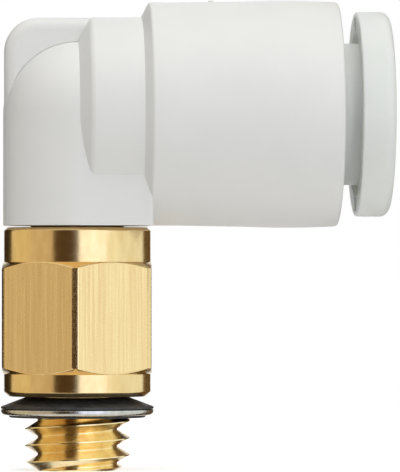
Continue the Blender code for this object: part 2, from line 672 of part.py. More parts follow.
def make_guide_sleeve(parts, tube_axis):
    """Drawn stainless sleeve pressed into the barrel: it backs the seal and wedges the collet."""
    mouth_bore = GUIDE_MOUTH_BORE
    barb_radius = GUIDE_OUTER_RADIUS + GUIDE_BARB
    barb_end = GUIDE_BARB_X + GUIDE_BARB_LENGTH
    profile = [
        (GUIDE_OUTER_RADIUS, GUIDE_END_X),
        (GUIDE_OUTER_RADIUS, barb_end),
        (barb_radius, barb_end),
        (barb_radius, barb_end - GUIDE_BARB),
        (GUIDE_OUTER_RADIUS, GUIDE_BARB_X),
        (GUIDE_OUTER_RADIUS, GUIDE_X),
        (GUIDE_FLANGE_BORE, GUIDE_X),
        (GUIDE_FLANGE_BORE, GUIDE_X + GUIDE_FLANGE),
        (GUIDE_BORE, GUIDE_X + GUIDE_FLANGE),
        (GUIDE_BORE, GUIDE_MOUTH_X - GUIDE_WEDGE_LENGTH),
        (mouth_bore, GUIDE_MOUTH_X),
        (mouth_bore, GUIDE_END_X),
    ]
    guide = turned("guide_sleeve", profile, parts, tube_axis)
    return finish(guide, new_material("guide_stainless", (0.60, 0.60, 0.59), 0.3, 1.0))


def make_chuck(parts, cutters, tube_axis):
    """Stainless chuck: a band with sprung claws that slant in and grip the tube."""
    claw_root = claw_face_x(BAND_BORE)
    profile = [
        (BAND_RADIUS, BAND_X + CHUCK_BAND_LENGTH),
        (BAND_RADIUS, BAND_X),
        (CLAW_TIP_RADIUS, CLAW_TIP_X),
        (CLAW_TIP_RADIUS, CLAW_TIP_X + CLAW_THICKNESS),
        (BAND_BORE, claw_root),
        (BAND_BORE, BAND_X + CHUCK_BAND_LENGTH),
    ]
    chuck = turned("chuck", profile, parts, tube_axis)
    slots = radial_slots(
        "claw_slots",
        CLAW_COUNT,
        CLAW_SLOT,
        (CLAW_TIP_RADIUS - CLAW_THICKNESS, BAND_BORE),
        (CLAW_TIP_X - CUTTER_OVERSHOOT, BAND_X + CLAW_SLOT_ROOT),
        cutters,
        tube_axis,
    )
    combine(chuck, "DIFFERENCE", slots)
    return finish(chuck, new_material("chuck_stainless", (0.66, 0.66, 0.65), 0.25, 1.0))


def make_collet(parts, cutters, tube_axis):
    """Slotted resin collet: its cone sits in the guide's wedge and its ledge holds the collar."""
    mouth_radius = GUIDE_MOUTH_BORE - RUNNING_CLEARANCE
    wedge_end = GUIDE_MOUTH_X - COLLET_WEDGE_BACKOFF
    bore = RELEASE_NECK_RADIUS + RUNNING_CLEARANCE
    profile = [
        (mouth_radius, COLLET_END_X),
        (mouth_radius, wedge_end),
        (BAND_RADIUS, wedge_end - GUIDE_WEDGE_LENGTH),
        (BAND_RADIUS, COLLET_X),
        (COLLET_RECESS_RADIUS, COLLET_X),
        (COLLET_RECESS_RADIUS, COLLET_LEDGE_X),
        (bore, COLLET_LEDGE_X),
        (bore, COLLET_END_X),
    ]
    collet = turned("collet", profile, parts, tube_axis)
    slots = radial_slots(
        "collet_slots",
        COLLET_SLOT_COUNT,
        COLLET_SLOT,
        (RELEASE_BORE_RADIUS, GUIDE_OUTER_RADIUS),
        (COLLET_X - CUTTER_OVERSHOOT, COLLET_X + COLLET_SLOT_LENGTH),
        cutters,
        tube_axis,
    )
    combine(collet, "DIFFERENCE", slots)
    return finish(collet, new_material("collet_resin", (0.72, 0.72, 0.70), 0.45))


def make_release_collar(parts, cutters, tube_axis):
    """Resin collar: a flange to press, a neck, a ridge behind the collet's ledge, a nose."""
    face = FLANGE_X + FLANGE_LENGTH
    neck = RELEASE_NECK_RADIUS
    bore = RELEASE_BORE_RADIUS
    ridge = RELEASE_RIDGE_RADIUS
    nose_rise = claw_face_x(neck) - claw_face_x(bore)
    back = FLANGE_BACK_ROUND
    front = FLANGE_FACE_ROUND
    fillet = FLANGE_FILLET
    profile = arc((FLANGE_RADIUS - front, face - front), front, 90, 0, EDGE_STEPS)
    profile += arc((FLANGE_RADIUS - back, FLANGE_X + back), back, 0, -90, EDGE_STEPS)
    profile += arc((neck + fillet, FLANGE_X - fillet), fillet, 90, 180, EDGE_STEPS)
    profile += [
        (neck, RIDGE_END_X),
        (ridge, RIDGE_END_X),
        (ridge, RIDGE_X),
        (neck, RIDGE_X - RELEASE_RIDGE_LEAD),
        (neck, NOSE_X + nose_rise),
        (bore, NOSE_X),
        (bore, face - FLANGE_MOUTH),
        (bore + FLANGE_MOUTH, face),
    ]
    collar = turned("release_collar", profile, parts, tube_axis)
    pockets = radial_slots(
        "flange_pockets",
        POCKET_COUNT,
        POCKET_WIDTH,
        (neck + fillet + POCKET_LAND, FLANGE_RADIUS - POCKET_RIM),
        (FLANGE_X - CUTTER_OVERSHOOT, FLANGE_X + POCKET_DEPTH),
        cutters,
        tube_axis,
    )
    combine(collar, "DIFFERENCE", pockets)
    return finish(collar, new_material("collar_resin", (0.70, 0.72, 0.70), 0.4))


def main():
    clear_scene()
    parts = new_collection("male_elbow_fitting")
    cutters = new_collection("cutters")
    thread_axis = new_empty("thread_axis", parts)
    swivel_axis = new_empty("swivel_axis", parts, thread_axis)
    tube_axis = new_empty("tube_axis", parts, swivel_axis)
    tube_axis.location = (0, 0, TUBE_AXIS_Z)
    tube_axis.rotation_euler = (0, math.pi / 2, 0)
    make_threaded_stud(parts, cutters, thread_axis)
    make_stud_o_ring(parts, thread_axis)
    make_gasket_ring(parts, thread_axis)
    make_gasket_rubber(parts, thread_axis)
    make_elbow_body(parts, cutters, swivel_axis, tube_axis)
    make_tube_seal(parts, tube_axis)
    make_guide_sleeve(parts, tube_axis)
    make_collet(parts, cutters, tube_axis)
    make_chuck(parts, cutters, tube_axis)
    make_release_collar(parts, cutters, tube_axis)


main()
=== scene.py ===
"""Looks of a male elbow push-in fitting: M5 threaded stud, swivel elbow, 6 mm tube.

A piece is shaped in millimetres about the thread's axis or the tube's axis, and made metres
when it is finished. Sections are (radius, height, round) corners, and run round the piece.
"""

import math

import bmesh
import bpy
from mathutils import Matrix, Vector


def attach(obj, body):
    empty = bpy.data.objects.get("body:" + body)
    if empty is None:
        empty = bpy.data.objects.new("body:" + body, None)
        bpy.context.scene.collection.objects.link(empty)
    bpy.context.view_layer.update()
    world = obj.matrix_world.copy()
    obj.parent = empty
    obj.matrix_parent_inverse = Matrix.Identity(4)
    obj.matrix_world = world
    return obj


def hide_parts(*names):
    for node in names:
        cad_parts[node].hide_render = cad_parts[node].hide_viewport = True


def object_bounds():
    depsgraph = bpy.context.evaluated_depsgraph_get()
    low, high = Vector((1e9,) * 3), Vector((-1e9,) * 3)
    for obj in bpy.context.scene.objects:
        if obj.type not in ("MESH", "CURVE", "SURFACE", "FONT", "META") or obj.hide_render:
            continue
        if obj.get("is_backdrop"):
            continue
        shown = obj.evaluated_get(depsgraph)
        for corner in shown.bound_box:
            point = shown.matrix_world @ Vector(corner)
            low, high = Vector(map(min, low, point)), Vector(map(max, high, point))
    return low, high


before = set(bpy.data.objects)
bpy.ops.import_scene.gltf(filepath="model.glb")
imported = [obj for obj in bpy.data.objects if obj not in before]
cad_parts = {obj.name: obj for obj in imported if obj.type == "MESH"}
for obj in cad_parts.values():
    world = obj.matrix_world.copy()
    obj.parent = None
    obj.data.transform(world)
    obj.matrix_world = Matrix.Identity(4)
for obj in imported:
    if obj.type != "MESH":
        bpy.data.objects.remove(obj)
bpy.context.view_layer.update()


# Threaded stud. Brass, turned from 7 mm hexagon bar: spigot, collar, hexagon, collar, undercut
# and M5 thread. The hexagon keeps the grain of the drawn bar, and the rest shows the lathe's
# marks. It is screwed into the port, and everything else is carried by it.
MM = 0.001
FULL_TURN = 192
SEAM_MERGE = 0.0005
CUT_MERGE = 0.0001
CLOSE_TO = 0.001
BRASS = (0.88, 0.66, 0.33)
BRASS_DEEP = (0.80, 0.57, 0.26)
BRASS_ROLLED = (0.96, 0.77, 0.42)
BRASS_WORN = (0.78, 0.55, 0.26)
BRASS_CLEAN = (0.93, 0.72, 0.37)
FLAT_DISTANCE = 3.50
FLAT_COUNT = 6
HEX_TURN = math.radians(-3.4)
FLAT_EDGE = 0.06
FLAT_EDGE_SEGMENTS = 2
FLAT_MERGE = 0.02
FLAT_LEAST_AREA = 10
THREAD_PITCH = 0.80
THREAD_CREST_START = -0.13
THREAD_ROOT = 1.8255
THREAD_ROOT_ROUND = 0.095
THREAD_TURNS = 5
THREAD_STEPS = 96
GROOVE_TOP = 2.51
GROOVE_OUTSIDE = 2.62
FLANK_SLOPE = math.tan(math.radians(30))
stud_corners = [
    (2.05, 11.50, 0.03),
    (2.20, 11.35, 0.03),
    (2.20, 10.95, 0.04),
    (1.66, 10.95, 0.06),
    (1.66, 10.25, 0.06),
    (2.20, 10.25, 0.04),
    (2.20, 10.04, 0.06),
    (2.50, 9.64, 0.03),
    (2.50, 9.56, 0.02),
    (2.20, 9.56, 0.04),
    (2.20, 8.96, 0.05),
    (3.31, 8.96, 0.03),
    (3.46, 8.81, 0.03),
    (3.46, 7.33),
    (3.97, 7.0356),
    (3.97, 2.3444),
    (3.46, 2.05),
    (3.46, 1.22, 0.03),
    (3.24, 1.00, 0.03),
    (2.00, 1.00, 0.08),
    (2.00, 0.25, 0.08),
    (2.475, 0.00),
    (2.475, -2.08),
    (1.86, -2.50, 0.03),
    (1.25, -2.50, 0.04),
    (1.25, 11.50, 0.04),
]


def drawn_section(corners, closed, fineness):
    """The outline of a section in the X-Z plane, with its corners rounded as they say."""
    shape = bmesh.new()
    marks = [shape.verts.new((corner[0], 0.0, corner[1])) for corner in corners]
    followers = marks[1:] + marks[:1] if closed else marks[1:]
    for mark, follower in zip(marks, followers):
        shape.edges.new((mark, follower))
    for mark, corner in zip(marks, corners):
        if len(corner) > 2:
            bmesh.ops.bevel(
                shape,
                geom=[mark],
                offset=corner[2],
                segments=fineness,
                profile=0.5,
                affect="VERTICES",
                material=-1,
            )
    return shape


def spun(shape, steps=FULL_TURN):
    """A drawn outline taken once round the Z axis, and closed."""
    bmesh.ops.spin(
        shape,
        geom=shape.verts[:] + shape.edges[:],
        cent=(0, 0, 0),
        axis=(0, 0, 1),
        dvec=(0, 0, 0),
        angle=math.tau,
        steps=steps,
        use_merge=True,
    )
    bmesh.ops.remove_doubles(shape, verts=shape.verts, dist=SEAM_MERGE)
    bmesh.ops.recalc_face_normals(shape, faces=shape.faces)
    return shape


def turned(corners, closed=True, steps=FULL_TURN, fineness=4):
    """A section turned round the Z axis. An open section starts and ends on the axis."""
    return spun(drawn_section(corners, closed, fineness), steps)


def worked(shape, operation, *tools):
    """The shape after an exact Boolean with each tool in turn."""
    objects = []
    for part in (shape, *tools):
        mesh = bpy.data.meshes.new("work")
        part.to_mesh(mesh)
        part.free()
        made = bpy.data.objects.new("work", mesh)
        bpy.context.scene.collection.objects.link(made)
        objects.append(made)
    blank = objects[0]
    for tool in objects[1:]:
        step = blank.modifiers.new("work", "BOOLEAN")
        step.operation = operation
        step.solver = "EXACT"
        step.object = tool
    bpy.context.view_layer.update()
    graph = bpy.context.evaluated_depsgraph_get()
    result = bmesh.new()
    result.from_mesh(blank.evaluated_get(graph).to_mesh())
    for made in objects:
        bpy.data.meshes.remove(made.data)
    bmesh.ops.remove_doubles(result, verts=result.verts, dist=CUT_MERGE)
    bmesh.ops.dissolve_degenerate(result, edges=result.edges, dist=CUT_MERGE)
    return result


def finished(name, shape, finishes, sharp=35):
    """The shape as a piece in metres, shaded smooth apart from its edges."""
    bmesh.ops.scale(shape, vec=(MM, MM, MM), verts=shape.verts)
    mesh = bpy.data.meshes.new(name)
    shape.to_mesh(mesh)
    shape.free()
    for finish in finishes:
        mesh.materials.append(finish)
    mesh.shade_smooth()
    mesh.set_sharp_from_angle(angle=math.radians(sharp))
    piece = bpy.data.objects.new(name, mesh)
    bpy.context.scene.collection.objects.link(piece)
    return piece


def even_shading(piece):
    """Lets wide faces set the shading of the small roundings beside them."""
    level = piece.modifiers.new("even shading", "WEIGHTED_NORMAL")
    level.keep_sharp = True


def new_finish(name, colour, roughness, metallic=0.0):
    """A material with its plain values, and its node tree."""
    finish = bpy.data.materials.new(name)
    finish.use_nodes = True
    shader = finish.node_tree.nodes["Principled BSDF"]
    shader.inputs["Base Color"].default_value = (*colour, 1.0)
    shader.inputs["Roughness"].default_value = roughness
    shader.inputs["Metallic"].default_value = metallic
    return finish, finish.node_tree, shader


def spread(tree, size, stretch=(1, 1, 1), detail=2.0, source=None):
    """Noise on the piece's own coordinates, with marks of a size in mm, stretched along X, Y, Z."""
    scaled = tree.nodes.new("ShaderNodeMapping")
    scaled.inputs["Scale"].default_value = [1 / (size * along * MM) for along in stretch]
    if source is None:
        source = tree.nodes.new("ShaderNodeTexCoord").outputs["Object"]
    tree.links.new(source, scaled.inputs["Vector"])
    noise = tree.nodes.new("ShaderNodeTexNoise")
    noise.inputs["Scale"].default_value = 1.0
    noise.inputs["Detail"].default_value = detail
    tree.links.new(scaled.outputs["Vector"], noise.inputs["Vector"])
    return noise.outputs["Fac"]


def tint(tree, shader, pattern, first, second, low=0.3, high=0.7):
    """Colours the piece between two colours by a pattern."""
    ramp = tree.nodes.new("ShaderNodeValToRGB")
    ramp.color_ramp.elements[0].position = low
    ramp.color_ramp.elements[1].position = high
    ramp.color_ramp.elements[0].color = (*first, 1.0)
    ramp.color_ramp.elements[1].color = (*second, 1.0)
    tree.links.new(pattern, ramp.inputs["Fac"])
    tree.links.new(ramp.outputs["Color"], shader.inputs["Base Color"])


def polish(tree, shader, pattern, smooth, rough):
    """Varies the roughness between two values by a pattern."""
    span = tree.nodes.new("ShaderNodeMapRange")
    span.inputs["From Min"].default_value = 0.3
    span.inputs["From Max"].default_value = 0.7
    span.inputs["To Min"].default_value = smooth
    span.inputs["To Max"].default_value = rough
    tree.links.new(pattern, span.inputs["Value"])
    tree.links.new(span.outputs["Result"], shader.inputs["Roughness"])


def emboss(tree, shader, pattern, depth, under=None):
    """Raises the surface by a pattern, to a depth in mm."""
    bump = tree.nodes.new("ShaderNodeBump")
    bump.inputs["Distance"].default_value = depth * MM
    tree.links.new(pattern, bump.inputs["Height"])
    if under is not None:
        tree.links.new(under, bump.inputs["Normal"])
    tree.links.new(bump.outputs["Normal"], shader.inputs["Normal"])
    return bump.outputs["Normal"]


def lathe_rings(tree):
    """Coordinates that change only outwards and along the thread's axis, for turning marks."""
    place = tree.nodes.new("ShaderNodeTexCoord")
    parts = tree.nodes.new("ShaderNodeSeparateXYZ")
    flat = tree.nodes.new("ShaderNodeVectorMath")
    flat.operation = "MULTIPLY"
    flat.inputs[1].default_value = (1, 1, 0)
    outwards = tree.nodes.new("ShaderNodeVectorMath")
    outwards.operation = "LENGTH"
    rings = tree.nodes.new("ShaderNodeCombineXYZ")
    tree.links.new(place.outputs["Object"], parts.inputs["Vector"])
    tree.links.new(place.outputs["Object"], flat.inputs[0])
    tree.links.new(flat.outputs["Vector"], outwards.inputs[0])
    tree.links.new(outwards.outputs["Value"], rings.inputs["X"])
    tree.links.new(parts.outputs["Z"], rings.inputs["Z"])
    return rings.outputs["Vector"]


def thread_groove():
    """The V that the thread is cut with, swept along its helix."""
    half = (GROOVE_TOP - THREAD_ROOT) * FLANK_SLOPE
    start = THREAD_CREST_START - THREAD_PITCH / 2 - (THREAD_TURNS - 1) * THREAD_PITCH
    corners = [
        (THREAD_ROOT, start, THREAD_ROOT_ROUND),
        (GROOVE_TOP, start + half),
        (GROOVE_OUTSIDE, start + half),
        (GROOVE_OUTSIDE, start - half),
        (GROOVE_TOP, start - half),
    ]
    shape = drawn_section(corners, closed=True, fineness=5)
    bmesh.ops.spin(
        shape,
        geom=shape.verts[:] + shape.edges[:],
        cent=(0, 0, 0),
        axis=(0, 0, 1),
        dvec=(0, 0, THREAD_PITCH / THREAD_STEPS),
        angle=math.tau * THREAD_TURNS,
        steps=THREAD_STEPS * THREAD_TURNS,
        use_merge=False,
    )
    ends = [edge for edge in shape.edges if edge.is_boundary]
    bmesh.ops.holes_fill(shape, edges=ends, sides=0)
    bmesh.ops.recalc_face_normals(shape, faces=shape.faces)
    return shape


def mill_flats(shape):
    """Cuts the flats of the bar into the turned shape, and breaks their edges."""
    for index in range(FLAT_COUNT):
        angle = HEX_TURN + math.tau * index / FLAT_COUNT
        outwards = Vector((math.cos(angle), math.sin(angle), 0.0))
        cut = bmesh.ops.bisect_plane(
            shape,
            geom=shape.verts[:] + shape.edges[:] + shape.faces[:],
            dist=CUT_MERGE,
            plane_co=outwards * FLAT_DISTANCE,
            plane_no=outwards,
            clear_outer=True,
        )
        rim = [part for part in cut["geom_cut"] if isinstance(part, bmesh.types.BMEdge)]
        bmesh.ops.contextual_create(shape, geom=rim)
    outer = [vert for vert in shape.verts if vert.co.xy.length > FLAT_DISTANCE - FLAT_MERGE]
    bmesh.ops.remove_doubles(shape, verts=outer, dist=FLAT_MERGE)
    shape.normal_update()
    flats = [face for face in shape.faces if face.calc_area() > FLAT_LEAST_AREA]
    bmesh.ops.bevel(
        shape,
        geom=list({edge for face in flats for edge in face.edges}),
        offset=FLAT_EDGE,
        segments=FLAT_EDGE_SEGMENTS,
        profile=0.5,
        affect="EDGES",
        material=-1,
        clamp_overlap=False,
    )
    shape.normal_update()


stud_shape = turned(stud_corners)
mill_flats(stud_shape)
stud_shape = worked(stud_shape, "DIFFERENCE", thread_groove())
stud_shape.normal_update()

# The collars and the spigot are turned brass, the hexagon is drawn and the thread is rolled.
turned_brass, tree, shader = new_finish("turned brass", BRASS, roughness=0.17, metallic=1.0)
rings = lathe_rings(tree)
fine_rings = spread(tree, 0.03, detail=3.0, source=rings)
ringed = emboss(tree, shader, fine_rings, 0.0005)
emboss(tree, shader, spread(tree, 0.8, stretch=(1, 1, 2)), 0.006, under=ringed)
tint(tree, shader, spread(tree, 0.5, stretch=(1, 1, 2)), BRASS_DEEP, BRASS)
polish(tree, shader, spread(tree, 0.08, source=rings), smooth=0.16, rough=0.22)

drawn_brass, tree, shader = new_finish("drawn brass", BRASS, roughness=0.22, metallic=1.0)
emboss(tree, shader, spread(tree, 0.05, stretch=(1, 1, 60), detail=4.0), 0.0016)
grain = spread(tree, 0.11, stretch=(1, 1, 45), detail=8.0)
tint(tree, shader, grain, BRASS_WORN, BRASS_CLEAN)
polish(tree, shader, spread(tree, 0.06, stretch=(1, 1, 3), detail=3.0), smooth=0.16, rough=0.34)

rolled_brass, tree, shader = new_finish("rolled brass", BRASS_ROLLED, roughness=0.2, metallic=1.0)
emboss(tree, shader, spread(tree, 0.04, stretch=(3, 3, 1), detail=3.0), 0.0005)
tint(tree, shader, spread(tree, 0.5), BRASS, BRASS_ROLLED, high=0.5)
polish(tree, shader, spread(tree, 0.1), smooth=0.18, rough=0.24)

brasses = [turned_brass, drawn_brass, rolled_brass]
for face in stud_shape.faces:
    centre = face.calc_center_median()
    if centre.xy.length > FLAT_DISTANCE - CLOSE_TO and abs(face.normal.z) < CLOSE_TO:
        face.material_index = brasses.index(drawn_brass)
    elif centre.z < 0 and centre.xy.length > THREAD_ROOT:
        face.material_index = brasses.index(rolled_brass)
stud = finished("brass_stud", stud_shape, brasses)
even_shading(stud)
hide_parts("threaded_stud")
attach(stud, "stud")


# Stud's O-ring. Black nitrile, moulded as a ring of round cord and stretched into the spigot's
# groove, where it seals the swivel inside the leg.
O_RING_RADIUS = 1.955
O_RING_CORD = 0.265
O_RING_HEIGHT = 10.60
O_RING_FACETS = 24
NITRILE = (0.016, 0.016, 0.017)
NITRILE_WORN = (0.032, 0.032, 0.034)


def rubber_finish(name, worn):
    """Moulded black nitrile: dull, with a fine grain and slightly greyer patches."""
    finish, tree, shader = new_finish(name, NITRILE, roughness=0.5)
    emboss(tree, shader, spread(tree, 0.02, detail=4.0), 0.0020)
    tint(tree, shader, spread(tree, 0.4), NITRILE, worn)
    polish(tree, shader, spread(tree, 0.15), smooth=0.42, rough=0.6)
    return finish


nitrile = rubber_finish("seal nitrile", NITRILE_WORN)
shape = bmesh.new()
bmesh.ops.create_circle(shape, segments=O_RING_FACETS, radius=O_RING_CORD)
bmesh.ops.rotate(shape, verts=shape.verts, matrix=Matrix.Rotation(math.pi / 2, 3, "X"))
bmesh.ops.translate(shape, verts=shape.verts, vec=(O_RING_RADIUS, 0, O_RING_HEIGHT))
o_ring = finished("swivel_o_ring", spun(shape), [nitrile])
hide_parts("stud_o_ring")
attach(o_ring, "stud")


# Gasket ring. Stainless, stamped and tumbled, so that its outer edge is round and bright. It lies
# in the moulded rubber, under the stud's lower collar.
STAINLESS = (0.64, 0.61, 0.55)
STAINLESS_DARK = (0.52, 0.50, 0.45)
ring_corners = [
    (2.80, 0.11, 0.03),
    (3.60, 0.11, 0.22),
    (3.60, 0.39, 0.04),
    (2.80, 0.39, 0.03),
]
tumbled_steel, tree, shader = new_finish(
    "tumbled stainless", STAINLESS, roughness=0.25, metallic=1.0
)
emboss(tree, shader, spread(tree, 0.05, detail=3.0), 0.0015)
tint(tree, shader, spread(tree, 0.3), STAINLESS_DARK, STAINLESS)
polish(tree, shader, spread(tree, 0.1), smooth=0.18, rough=0.32)
gasket_ring = finished("gasket_steel_ring", turned(ring_corners), [tumbled_steel])
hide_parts("gasket_ring")
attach(gasket_ring, "stud")


# Gasket rubber. Black nitrile moulded on the ring: a cone above, a lip that holds it in the
# undercut, and a flat foot that seals on the port.
NITRILE_BLOOMED = (0.045, 0.044, 0.043)
rubber_corners = [
    (2.42, 0.97, 0.05),
    (3.60, 0.52, 0.03),
    (3.60, 0.42, 0.02),
    (2.77, 0.42),
    (2.77, 0.08),
    (3.25, 0.08, 0.03),
    (3.17, 0.00, 0.03),
    (2.525, 0.00, 0.03),
    (2.525, 0.30, 0.03),
    (2.30, 0.525, 0.03),
    (2.30, 0.93, 0.03),
]
gasket_nitrile = rubber_finish("gasket nitrile", NITRILE_BLOOMED)
gasket_rubber = finished("gasket_moulded_rubber", turned(rubber_corners), [gasket_nitrile])
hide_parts("gasket_rubber")
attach(gasket_rubber, "stud")


# Elbow body. One moulding of white resin: a leg that snaps over the stud's spigot, a ball at the
# corner with a rib behind it, a shoulder, a neck and the barrel that holds the tube's parts. The
# mould's gate leaves a nub on top of the barrel.
TUBE_HEIGHT = 14.32
LEG_RADIUS = 3.50
LEG_SIDE = 3.45
LEG_BOTTOM = 9.035
LEG_EDGE = 0.25
LEG_START = 0.03
RIB_HALF = 1.00
RIB_BACK = 3.45
RIB_TOP = 4.52
RIB_END = 0.74
RIB_FOOT = 1.75
RIB_CORNER = 1.60
RIB_EDGE = 0.55
EDGE_SEGMENTS = 8
WHITE = (0.80, 0.797, 0.77)
WHITE_COOL = (0.78, 0.782, 0.757)
leg_corners = [
    (0.0, TUBE_HEIGHT + LEG_RADIUS),
    (LEG_RADIUS, TUBE_HEIGHT + LEG_RADIUS, LEG_RADIUS),
    (LEG_RADIUS, LEG_BOTTOM, 0.05),
    (0.0, LEG_BOTTOM),
]
barrel_corners = [
    (0.0, 12.288),
    (5.30, 12.288, 0.15),
    (5.40, 10.04, 1.40),
    (5.27, 6.29, 1.60),
    (5.27, 3.362, 0.10),
    (4.56, 3.00),
    (4.56, 0.54, 0.20),
    (3.15, -0.178),
    (0.0, -0.178),
]
socket_corners = [
    (0.0, 12.50),
    (4.632, 12.50),
    (4.30, 12.168),
    (4.30, 11.518),
    (4.40, 11.518),
    (4.40, 11.418),
    (4.30, 11.058),
    (4.30, 7.10),
    (4.12, 7.10),
    (4.12, 4.90, 0.05),
    (3.06, 4.90, 0.05),
    (3.06, 2.60, 0.08),
    (2.00, 2.60, 0.05),
    (2.00, -1.50),
    (1.70, -1.80),
    (0.0, -1.80),
]
CREASE_RADIUS = 0.035
CREASE_SWEEP = 96
CREASE_FACETS = 12
CREASE_STEPS = 60
GATE_PLACE = 6.32
GATE_STEPS = 24
gate_corners = [
    (0.0, 19.69),
    (0.12, 19.69, 0.03),
    (0.15, 19.45),
    (0.0, 19.45),
]
leg_inside_corners = [
    (0.0, TUBE_HEIGHT),
    (1.75, TUBE_HEIGHT),
    (1.75, 11.60),
    (2.25, 11.60),
    (2.25, 10.14),
    (2.55, 9.74),
    (2.55, 9.51),
    (2.25, 9.51),
    (2.25, 9.20),
    (2.40, 8.95),
    (0.0, 8.95),
]


def along_tube(shape):
    """Lays a shape that was turned about the thread's axis along the tube's axis."""
    turn = Matrix.Rotation(math.pi / 2, 3, "Y")
    bmesh.ops.rotate(shape, verts=shape.verts, matrix=turn)
    bmesh.ops.translate(shape, verts=shape.verts, vec=(0, 0, TUBE_HEIGHT))
    return shape


def leg_block():
    """The straight-sided half of the leg under the neck, with two rounded upright edges."""
    shape = bmesh.new()
    bmesh.ops.create_cube(shape, size=1.0)
    height = TUBE_HEIGHT - LEG_BOTTOM
    length = LEG_SIDE - LEG_START
    bmesh.ops.scale(shape, vec=(length, 2 * LEG_RADIUS, height), verts=shape.verts)
    middle = (LEG_START + length / 2, 0, LEG_BOTTOM + height / 2)
    bmesh.ops.translate(shape, verts=shape.verts, vec=middle)
    upright = []
    for edge in shape.edges:
        first, second = (vert.co for vert in edge.verts)
        if min(first.x, second.x) > length / 2 and abs(first.z - second.z) > height / 2:
            upright.append(edge)
    bmesh.ops.bevel(
        shape,
        geom=upright,
        offset=LEG_EDGE,
        segments=EDGE_SEGMENTS,
        profile=0.5,
        affect="EDGES",
        material=-1,
    )
    return shape


def corner_rib():
    """The flat rib behind the ball, with a round corner and rounded edges."""
    outline = [
        (-RIB_BACK, TUBE_HEIGHT + RIB_TOP, RIB_CORNER),
        (RIB_END, TUBE_HEIGHT + RIB_TOP),
        (RIB_END, TUBE_HEIGHT - RIB_FOOT),
        (-RIB_BACK, TUBE_HEIGHT - RIB_FOOT),
    ]
    shape = drawn_section(outline, closed=True, fineness=24)
    side = bmesh.ops.contextual_create(shape, geom=shape.edges[:])["faces"]
    sides = bmesh.ops.extrude_face_region(shape, geom=side)["geom"]
    far = [part for part in sides if isinstance(part, bmesh.types.BMVert)]
    bmesh.ops.translate(shape, verts=far, vec=(0, 2 * RIB_HALF, 0))
    bmesh.ops.translate(shape, verts=shape.verts, vec=(0, -RIB_HALF, 0))
    bmesh.ops.recalc_face_normals(shape, faces=shape.faces)
    flanks = [face for face in shape.faces if abs(face.normal.y) > 0.9]
    bmesh.ops.bevel(
        shape,
        geom=list({edge for face in flanks for edge in face.edges}),
        offset=RIB_EDGE,
        segments=EDGE_SEGMENTS,
        profile=0.5,
        affect="EDGES",
        material=-1,
    )
    return shape


def crease(side):
    """A fine round groove where the ball meets one side of the rib."""
    shape = bmesh.new()
    bmesh.ops.create_circle(shape, segments=CREASE_FACETS, radius=CREASE_RADIUS)
    bmesh.ops.rotate(shape, verts=shape.verts, matrix=Matrix.Rotation(math.pi / 2, 3, "X"))
    bmesh.ops.rotate(shape, verts=shape.verts, matrix=Matrix.Rotation(math.pi / 2, 3, "Z"))
    reach = math.sqrt(LEG_RADIUS**2 - RIB_HALF**2)
    bmesh.ops.translate(shape, verts=shape.verts, vec=(0, side * RIB_HALF, TUBE_HEIGHT + reach))
    bmesh.ops.spin(
        shape,
        geom=shape.verts[:] + shape.edges[:],
        cent=(0, side * RIB_HALF, TUBE_HEIGHT),
        axis=(0, -1, 0),
        dvec=(0, 0, 0),
        angle=math.radians(CREASE_SWEEP),
        steps=CREASE_STEPS,
        use_merge=False,
    )
    ends = [edge for edge in shape.edges if edge.is_boundary]
    bmesh.ops.holes_fill(shape, edges=ends, sides=0)
    bmesh.ops.recalc_face_normals(shape, faces=shape.faces)
    return shape


gate = turned(gate_corners, closed=False, steps=GATE_STEPS)
bmesh.ops.translate(gate, verts=gate.verts, vec=(GATE_PLACE, 0, 0))
outside = worked(
    turned(leg_corners, closed=False, fineness=40),
    "UNION",
    leg_block(),
    corner_rib(),
    along_tube(turned(barrel_corners, closed=False, fineness=6)),
    gate,
)
elbow_shape = worked(
    outside,
    "DIFFERENCE",
    along_tube(turned(socket_corners, closed=False)),
    turned(leg_inside_corners, closed=False),
    crease(-1),
    crease(1),
)

white_resin, tree, shader = new_finish("white moulded resin", WHITE, roughness=0.42)
emboss(tree, shader, spread(tree, 0.06, detail=3.0), 0.0012)
tint(tree, shader, spread(tree, 2.0), WHITE_COOL, WHITE)
polish(tree, shader, spread(tree, 0.25), smooth=0.38, rough=0.48)

elbow = finished("elbow_moulding", elbow_shape, [white_resin], sharp=30)
even_shading(elbow)
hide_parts("elbow_body")
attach(elbow, "elbow")


# Tube seal. Black nitrile, moulded: two lips that face the pressure and a heel that rests on the
# guide sleeve. It sits in the barrel, and the inner lip hugs the tube.
seal_corners = [
    (4.05, 7.05, 0.06),
    (4.05, 6.10, 0.05),
    (4.09, 5.93, 0.05),
    (4.09, 5.01, 0.03),
    (3.92, 4.95, 0.04),
    (3.645, 5.95, 0.06),
    (3.23, 4.95, 0.04),
    (3.04, 4.95, 0.03),
    (2.95, 5.29, 0.04),
    (2.95, 5.46, 0.04),
    (3.20, 6.10, 0.05),
    (3.20, 7.05, 0.06),
]
tube_seal = finished("tube_lip_seal", along_tube(turned(seal_corners)), [nitrile])
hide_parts("tube_seal")
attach(tube_seal, "elbow")


